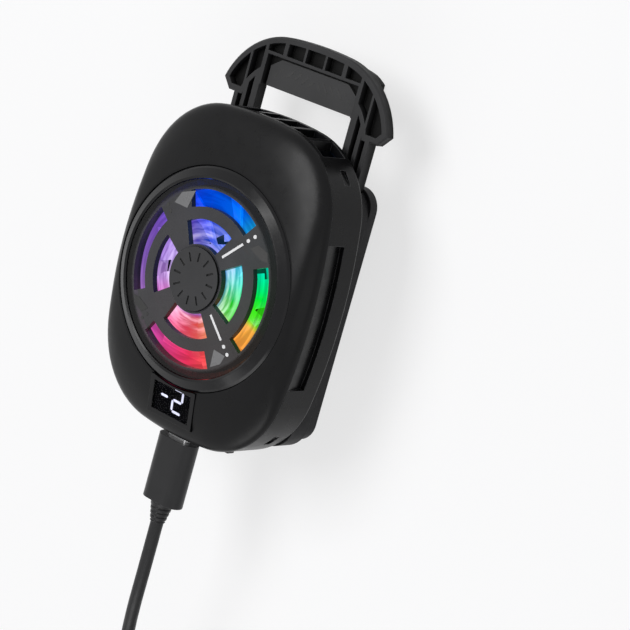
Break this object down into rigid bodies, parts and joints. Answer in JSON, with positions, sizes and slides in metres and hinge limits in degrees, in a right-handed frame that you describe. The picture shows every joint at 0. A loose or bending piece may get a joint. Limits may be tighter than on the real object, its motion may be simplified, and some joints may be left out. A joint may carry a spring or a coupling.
{
  "type": "phone cooling fan",
  "caption": "Clip-on fan cooler for a phone: oval housing with a round fan guard, sloped display, cold plate, sprung sliding jaw and a plugged-in charging cord.",
  "frame": {"origin": "on the fan's axis, in the face of the silicone pad that lies against the phone", "axes": "+Z out through the fan guard, +Y towards the sliding jaw, +X to the right seen from the fan side with the sliding jaw up"},
  "size_m": [0.0759, 0.2276, 0.0397],
  "materials": {
    "housing_plastic": "satin black moulding",
    "base_plastic": "fine matt texture",
    "slider_plastic": "matt dark grey, worn on its edges",
    "plate_plastic": "matt dark grey with engraved strokes",
    "bezel_gloss": "polished",
    "smoke_guard": "clear smoke grey",
    "badge_gloss": "polished with radial grooves",
    "display_glass": "dark tinted window",
    "display_lamp": "lit figures",
    "fan_plastic": "translucent",
    "frame_plastic": "plain",
    "steel": "plated",
    "magnet": "sintered",
    "bronze": "oiled",
    "copper": "enamelled wire",
    "board": "solder mask",
    "lamp": "lens",
    "sink_aluminium": "bead blasted",
    "ceramic": "plain",
    "silicone": "matt",
    "switch_plastic": "plain",
    "cord_rubber": "satin"
  },
  "bodies": {
    "body": {"rear_housing": "housing_plastic", "front_cover": "housing_plastic", "clamp_base": "base_plastic", "rear_cover": "base_plastic", "lower_jaw": "base_plastic", "bezel_ring": "bezel_gloss", "display_frame": "bezel_gloss", "fan_guard": "smoke_guard", "hub_badge": "badge_gloss", "display_window": "display_glass", "display_module": "display_lamp", "fan_frame": "frame_plastic", "motor_stator": "steel", "rear_screws": "steel", "cover_screws": "steel", "return_spring_left": "steel", "return_spring_right": "steel", "charging_port": "steel", "usb_c_plug_shell": "steel", "usb_a_plug_shell": "steel", "bearing_sleeve": "bronze", "stator_coils": "copper", "motor_board": "board", "main_board": "board", "led_lamps": "lamp", "heat_sink": "sink_aluminium", "cold_plate": "sink_aluminium", "thermoelectric_cell": "ceramic", "thermal_pad": "silicone", "lower_jaw_pad": "silicone", "tact_switch": "switch_plastic", "cord": "cord_rubber", "cord_tail": "cord_rubber", "cord_coil": "cord_rubber", "usb_c_strain_relief": "cord_rubber", "usb_a_strain_relief": "cord_rubber", "usb_c_plug_grip": "cord_rubber", "usb_a_plug_grip": "cord_rubber", "cord_tie": "cord_rubber"},
    "slider": {"clamp_slider": "slider_plastic", "slider_plate": "plate_plastic", "upper_jaw_pad": "silicone"},
    "rotor": {"fan_impeller": "fan_plastic", "rotor_yoke": "steel", "rotor_magnet": "magnet", "rotor_shaft": "steel"},
    "button": {"mode_button": "switch_plastic"}
  },
  "joints": [
    {"name": "clamp_slide", "type": "slide", "parent": "body", "child": "slider", "axis": [0, 1, 0], "range_m": [-0.01, 0.01], "stiffness_N_per_m": 150, "deforming": ["return_spring_left", "return_spring_right"]},
    {"name": "fan_spin", "type": "hinge", "parent": "body", "child": "rotor", "pos_m": [0, 0, 0.019], "axis": [0, 0, 1], "continuous": true},
    {"name": "button_press", "type": "slide", "parent": "body", "child": "button", "axis": [0, 1, 0], "range_m": [0, 0.0004], "stiffness_N_per_m": 800}
  ]
}
